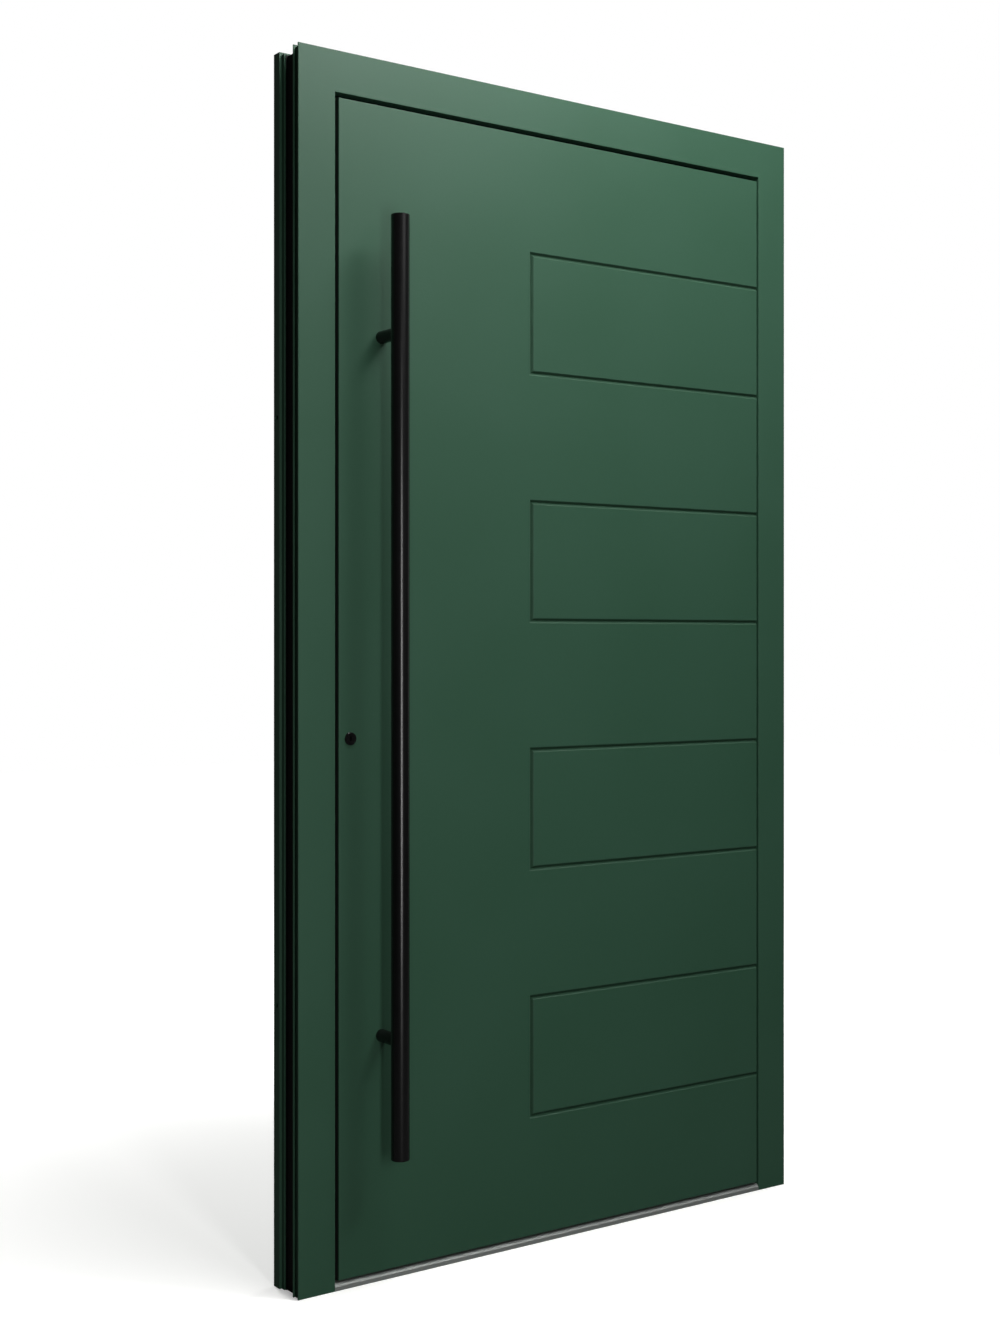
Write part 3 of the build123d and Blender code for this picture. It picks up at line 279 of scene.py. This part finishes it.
plate_screw_radius = 0.0036
strike_screw_heights = (0.240, 0.308, 0.925, 1.060, 1.660, 1.728)
strike_low, strike_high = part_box("strike_plates")
strike_middle = (strike_low.y + strike_high.y) / 2
screw_heads("strike_screws", "frame",
            [(strike_high.x, strike_middle, height) for height in strike_screw_heights],
            (1, 0, 0), plate_screw_radius)

# Hinges: three barrel hinges on the inside, each with a frame plate, a leaf plate and a pin.
# The plates and knuckles are cast aluminium, coated with the frame; the pins are turned from
# stainless steel, and each plate is held by two screws.
dress(powder_coat, "hinge_frame_halves", "hinge_leaf_halves")
dress(stainless, "hinge_pins")
hinge_heights = (0.250, 1.050, 1.850)
hinge_screw_step = 0.035
hinge_screw_radius = 0.0048
hinge_face = 0.0465
hinge_frame_screw_x, hinge_leaf_screw_x = 0.5328, 0.4822
for name, body, across in (("hinge_frame_screws", "frame", hinge_frame_screw_x),
                           ("hinge_leaf_screws", "leaf", hinge_leaf_screw_x)):
    places = [(across, hinge_face, height + step) for height in hinge_heights
              for step in (-hinge_screw_step, hinge_screw_step)]
    screw_heads(name, body, places, (0, 1, 0), hinge_screw_radius)

# Sash: the leaf's own frame, two stiles and two rails behind the outer sheet.
# Like the outer frame it is extruded aluminium, mitred over cleats, with polyamide breaks,
# and it is coated in the same green. A rubber seal closes its foot.
dress(powder_coat, "lock_stile_outer", "lock_stile_inner", "hinge_stile_outer", "hinge_stile_inner",
      "top_rail_outer", "top_rail_inner", "bottom_rail_outer", "bottom_rail_inner")
dress(polyamide, "stile_breaks", "rail_breaks")
dress(mill_aluminium, "leaf_corner_cleats")
dress(rubber, "bottom_seal")

# Panel: a foam core between two aluminium sheets. The outer sheet covers the whole leaf, glued on,
# and its bands are V-grooves milled before coating; the inner sheet is held by beads and a gasket.
dress(powder_coat, "inner_sheet", "panel_beads")
dress(rubber, "edge_gasket", "panel_gasket")

# The same coat on the outer sheet, with painted shade in the milled lines: the green is painted darker the
# deeper the surface lies, so the bands read as fine dark lines on the flat leaf. Powder gathers in the lines
# and bakes duller there, so the coat is also rougher in them.
# The darker green is painted shade for the milled lines; the roughness is the coat's own.
groove_shade_green, groove_rough = srgb("#1a3626"), 0.95
groove_starts_mm, groove_deep_mm = 0.2, 1.3
sheet_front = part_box("outer_sheet")[0].y
milled_coat = powder_coat.copy()
milled_coat.name = "powder_coated_milled_sheet"
tree = milled_coat.node_tree
place = tree.nodes["Texture Coordinate"].outputs["Object"]
shader = tree.nodes["Principled BSDF"]
face_green = shader.inputs["Base Color"].links[0].from_socket
face_rough = shader.inputs["Roughness"].links[0].from_socket
depth = node(tree, "ShaderNodeSeparateXYZ", {"Vector": place})
milled = node(tree, "ShaderNodeMapRange", {
    "Value": depth.outputs["Y"], "From Min": sheet_front + groove_starts_mm / mm_per_m,
    "From Max": sheet_front + groove_deep_mm / mm_per_m})
# Painted shade: the green darkens with depth in the milled lines.
painted_groove_shade = node(tree, "ShaderNodeMix", {
    0: milled.outputs[0], 6: face_green, 7: groove_shade_green}, data_type="RGBA")
duller = node(tree, "ShaderNodeMix", {0: milled.outputs[0], 2: face_rough, 3: groove_rough})
tree.links.new(painted_groove_shade.outputs[2], shader.inputs["Base Color"])
tree.links.new(duller.outputs[0], shader.inputs["Roughness"])

dress(milled_coat, "outer_sheet")

# Rigid polyurethane foam, blown and cut to a board: pale cream, dry, and pitted by its cut cells, with
# painted shade that darkens the middle of each pit.
# The real cells are about 0.3 mm and are drawn at 1.2 mm, because they would not show otherwise.
foam_pale, foam_pit_shade = srgb("#e3d9b4"), srgb("#cbbf96")
cell_mm, cell_depth_mm = 1.2, 0.4
foam, tree, place = finish_named("rigid_polyurethane_foam")
cells = node(tree, "ShaderNodeTexVoronoi", {"Vector": place, "Scale": mm_per_m / cell_mm})
# Painted shade: the cream darkens towards the middle of each cell's pit, where the bump lies lowest.
colour = node(tree, "ShaderNodeMix", {
    0: cells.outputs["Distance"], 6: foam_pit_shade, 7: foam_pale}, data_type="RGBA")
bump = node(tree, "ShaderNodeBump", {
    "Height": cells.outputs["Distance"], "Strength": 0.6, "Distance": cell_depth_mm / mm_per_m})
shader = node(tree, "ShaderNodeBsdfPrincipled", {
    "Base Color": colour.outputs[2], "Roughness": 0.9, "Normal": bump.outputs[0]})
node(tree, "ShaderNodeOutputMaterial", {"Surface": shader.outputs[0]})

dress(foam, "insulation_core")

# Lock: a long faceplate on the leaf's edge with the main case and two hook cases behind it, joined
# by drive rods. Plate, bolts and hooks are stainless steel; cases, rods and the small works inside
# are zinc plated, and the plate is screwed to the stile.

# Zinc-plated steel, dipped in a plating bath: a clouded grey metal, with a blue cast where the
# plating lies thicker.
zinc_pale, zinc_blue = srgb("#b3b5b8"), srgb("#8f9499")
zinc_cloud_mm, zinc_cloud_height_mm = 6, 0.3
zinc_blue_rough, zinc_pale_rough = 0.28, 0.5
zinc_plate, tree, place = finish_named("zinc_plated_steel")
cloud = node(tree, "ShaderNodeTexNoise", {
    "Vector": place, "Scale": mm_per_m / zinc_cloud_mm, "Detail": 5.0})
colour = node(tree, "ShaderNodeMix", {
    0: cloud.outputs["Fac"], 6: zinc_blue, 7: zinc_pale}, data_type="RGBA")
rough = node(tree, "ShaderNodeMapRange", {
    "Value": cloud.outputs["Fac"], "To Min": zinc_blue_rough, "To Max": zinc_pale_rough})
bump = node(tree, "ShaderNodeBump", {
    "Height": cloud.outputs["Fac"], "Strength": 0.1, "Distance": zinc_cloud_height_mm / mm_per_m})
shader = node(tree, "ShaderNodeBsdfPrincipled", {
    "Base Color": colour.outputs[2], "Metallic": 1.0, "Roughness": rough.outputs[0],
    "Normal": bump.outputs[0]})
node(tree, "ShaderNodeOutputMaterial", {"Surface": shader.outputs[0]})

dress(stainless, "lock_faceplate", "latch_bolt", "deadbolt", "upper_hook", "lower_hook")
dress(zinc_plate, "main_lock_case", "hook_cases", "drive_rods", "spindle", "follower", "cylinder_cam")
faceplate_low, faceplate_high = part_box("lock_faceplate")
faceplate_middle = (faceplate_low.y + faceplate_high.y) / 2
faceplate_screw_heights = (0.160, 0.344, 0.849, 1.128, 1.596, 1.830)
screw_heads("faceplate_screws", "leaf",
            [(faceplate_low.x, faceplate_middle, height) for height in faceplate_screw_heights],
            (-1, 0, 0), plate_screw_radius)

# Lever set: the inside handle with its rose, and the rose and thumb turn of the cylinder below it.
# They are stainless steel: the lever is round bar, mitred and welded, and the others are turned.

# Satin stainless steel, ground finer than the plates: a soft bright grey, with level lines that
# run along the lever.
satin_steel = lined_metal(
    "satin_stainless_steel", pale=srgb("#bcbbb8"), dull=srgb("#a2a19e"), line_mm=0.5,
    stretch=(0.05, 1.0, 1.0), detail=4.0, metallic=1.0, rough=(0.36, 0.50), relief=0.10)

dress(satin_steel, "lever_handle", "inside_roses", "thumb_turn")

# Pull bar and cylinder: the long round bar outside on two standoffs, with flat end caps, and the
# round lock cylinder beside it. They are steel, lacquered satin black; the bolts through the leaf
# are zinc plated.

# Black lacquer, sprayed and baked: a deep black that shows each light as one clear line, a little
# uneven where the spray has dried in waves.
lacquer_black, lacquer_thin = srgb("#060606"), srgb("#0c0c0d")
lacquer_wave_mm = 12
lacquer_smooth, lacquer_rough = 0.24, 0.27
black_lacquer, tree, place = finish_named("black_lacquered_steel")
wave = node(tree, "ShaderNodeTexNoise", {
    "Vector": place, "Scale": mm_per_m / lacquer_wave_mm, "Detail": 2.0})
colour = node(tree, "ShaderNodeMix", {
    0: wave.outputs["Fac"], 6: lacquer_black, 7: lacquer_thin}, data_type="RGBA")
rough = node(tree, "ShaderNodeMapRange", {
    "Value": wave.outputs["Fac"], "To Min": lacquer_smooth, "To Max": lacquer_rough})
shader = node(tree, "ShaderNodeBsdfPrincipled", {
    "Base Color": colour.outputs[2], "Roughness": rough.outputs[0], "IOR": 1.5, "Specular IOR Level": 0.35})
node(tree, "ShaderNodeOutputMaterial", {"Surface": shader.outputs[0]})

dress(black_lacquer, "pull_bar", "pull_bar_caps", "standoffs", "cylinder_body", "cylinder_plug")
dress(zinc_plate, "pull_bar_bolts")

# Studio: a pale floor just under the door, a white surround and soft lights. The floor is a sheet of
# paper that the camera sees as white, apart from the door's shadow near its middle, and that throws
# little light on the door.
floor_reach, floor_drop = 12.0, 0.0005
floor_corners = ((-1, -1), (1, -1), (1, 1), (-1, 1))
floor_mesh = bpy.data.meshes.new("floor")
floor_mesh.from_pydata([(x * floor_reach, y * floor_reach, 0) for x, y in floor_corners], [], [(0, 1, 2, 3)])
floor = bpy.data.objects.new("floor", floor_mesh)
bpy.context.scene.collection.objects.link(floor)
floor.location.z = -floor_drop


def shown_white(tree, mirrored):
    """How far a place shows as white: to the camera, through glass, and by mirrored in reflections."""
    ray = node(tree, "ShaderNodeLightPath").outputs
    in_gloss = node(tree, "ShaderNodeMath", {0: ray["Is Glossy Ray"], 1: mirrored}, operation="MULTIPLY")
    seen = node(tree, "ShaderNodeMath", {
        0: ray["Is Camera Ray"], 1: ray["Is Transmission Ray"]}, operation="MAXIMUM")
    white = node(tree, "ShaderNodeMath", {0: seen.outputs[0], 1: in_gloss.outputs[0]}, operation="MAXIMUM")
    return white.outputs[0]


# White paper, matt and smooth. Only the floor behind the door and to its right shows as white in
# the door's gloss; distances are in metres.
paper_shaded, paper_white = srgb("#5a5a59"), srgb("#e6e6e4")
behind_starts, behind_full = 0.1, 0.6
shadow_full, shadow_ends, shadow_glow = 0.7, 2.6, 0.32
paper, tree, place = finish_named("white_paper_floor")
sides = node(tree, "ShaderNodeSeparateXYZ", {"Vector": place})
nearer = node(tree, "ShaderNodeMath", {0: sides.outputs["X"], 1: sides.outputs["Y"]}, operation="MINIMUM")
behind = node(tree, "ShaderNodeMapRange", {
    "Value": nearer.outputs[0], "From Min": behind_starts, "From Max": behind_full})
white = shown_white(tree, behind.outputs[0])
away = node(tree, "ShaderNodeVectorMath", {0: place}, operation="LENGTH")
glow = node(tree, "ShaderNodeMapRange", {
    "Value": away.outputs["Value"], "From Min": shadow_full, "From Max": shadow_ends,
    "To Min": shadow_glow, "To Max": 1.0}, interpolation_type="SMOOTHSTEP")
strength = node(tree, "ShaderNodeMath", {0: white, 1: glow.outputs[0]}, operation="MULTIPLY")
shade = node(tree, "ShaderNodeMix", {0: white, 6: paper_shaded, 7: paper_white}, data_type="RGBA")
diffuse = node(tree, "ShaderNodeBsdfDiffuse", {"Color": shade.outputs[2]})
emission = node(tree, "ShaderNodeEmission", {"Strength": strength.outputs[0]})
both = node(tree, "ShaderNodeAddShader", {0: diffuse.outputs[0], 1: emission.outputs[0]})
node(tree, "ShaderNodeOutputMaterial", {"Surface": both.outputs[0]})
floor_mesh.materials.append(paper)

# The surround: white to the camera and dim as a light, with a white backdrop in reflections on the
# far side, where the camera looks.
surround_white, surround_light = srgb("#ffffff"), 0.06
backdrop_heading = (0.7, 0.714, 0.0)
backdrop_starts, backdrop_full = 0.5, 0.9
world = bpy.data.worlds.new("studio")
bpy.context.scene.world = world
world.use_nodes = True
tree = world.node_tree
tree.nodes.clear()
heading = node(tree, "ShaderNodeTexCoord").outputs["Generated"]
towards = node(tree, "ShaderNodeVectorMath", {0: heading, 1: backdrop_heading}, operation="DOT_PRODUCT")
backdrop = node(tree, "ShaderNodeMapRange", {
    "Value": towards.outputs["Value"], "From Min": backdrop_starts, "From Max": backdrop_full},
    interpolation_type="SMOOTHSTEP")
level = node(tree, "ShaderNodeMapRange", {
    "Value": shown_white(tree, backdrop.outputs[0]), "To Min": surround_light, "To Max": 1.0})
background = node(tree, "ShaderNodeBackground", {"Color": surround_white, "Strength": level.outputs[0]})
node(tree, "ShaderNodeOutputWorld", {"Surface": background.outputs[0]})

# Lights, with sizes in metres, power in watts and spread in degrees: one hangs above the front of
# the door, one stands high on the right, a card and a tall strip in front draw the bar's highlights,
# and two behind the door light the hinge side and the inside.
for name, spot, aim, width, height, power, spread in (
        ("overhead_light", (0.1, -0.9, 2.95), (0.1, 0.0, 1.2), 1.3, 0.6, 50.5, 180),
        ("side_light", (1.8, -2.4, 4.4), (-1.2, 0.0, -1.0), 1.0, 1.0, 9.5, 60),
        ("card_light", (0.4, -3.0, 2.7), (-0.4, -0.1, 1.8), 1.8, 0.8, 7.0, 180),
        ("strip_light", (-1.03, -2.62, 0.9), (-0.4, -0.1, 0.95), 0.3, 1.4, 30.0, 180),
        ("hinge_side_light", (3.0, 1.0, 2.2), (0.5, 0.0, 1.0), 1.4, 1.4, 40.0, 180),
        ("inside_light", (-0.1, 2.9, 2.9), (0.0, 0.0, 1.0), 0.9, 2.6, 90.0, 180)):
    data = bpy.data.lights.new(name, "AREA")
    data.shape = "RECTANGLE"
    data.size, data.size_y, data.energy = width, height, power
    data.spread = math.radians(spread)
    light = bpy.data.objects.new(name, data)
    bpy.context.scene.collection.objects.link(light)
    light.location = spot
    light.visible_camera = False
    light.rotation_euler = (Vector(aim) - Vector(spot)).to_track_quat("-Z", "Y").to_euler()

# Camera: outside the door and to its left, level so that uprights stay upright, with its picture
# shifted a little to frame the door.
camera_spot, camera_heading = (-2.038, -2.6985, 1.0985), (0.580, 0.8146, 0.0)
lens_mm, sensor_mm, frame_shift = 48.91, 36.0, -0.0184
camera_data = bpy.data.cameras.new("camera")
camera_data.lens, camera_data.sensor_width, camera_data.shift_y = lens_mm, sensor_mm, frame_shift
camera = bpy.data.objects.new("camera", camera_data)
bpy.context.scene.collection.objects.link(camera)
camera.location = camera_spot
camera.rotation_euler = Vector(camera_heading).to_track_quat("-Z", "Y").to_euler()
bpy.context.scene.camera = camera
bpy.context.scene.view_settings.view_transform = "Standard"
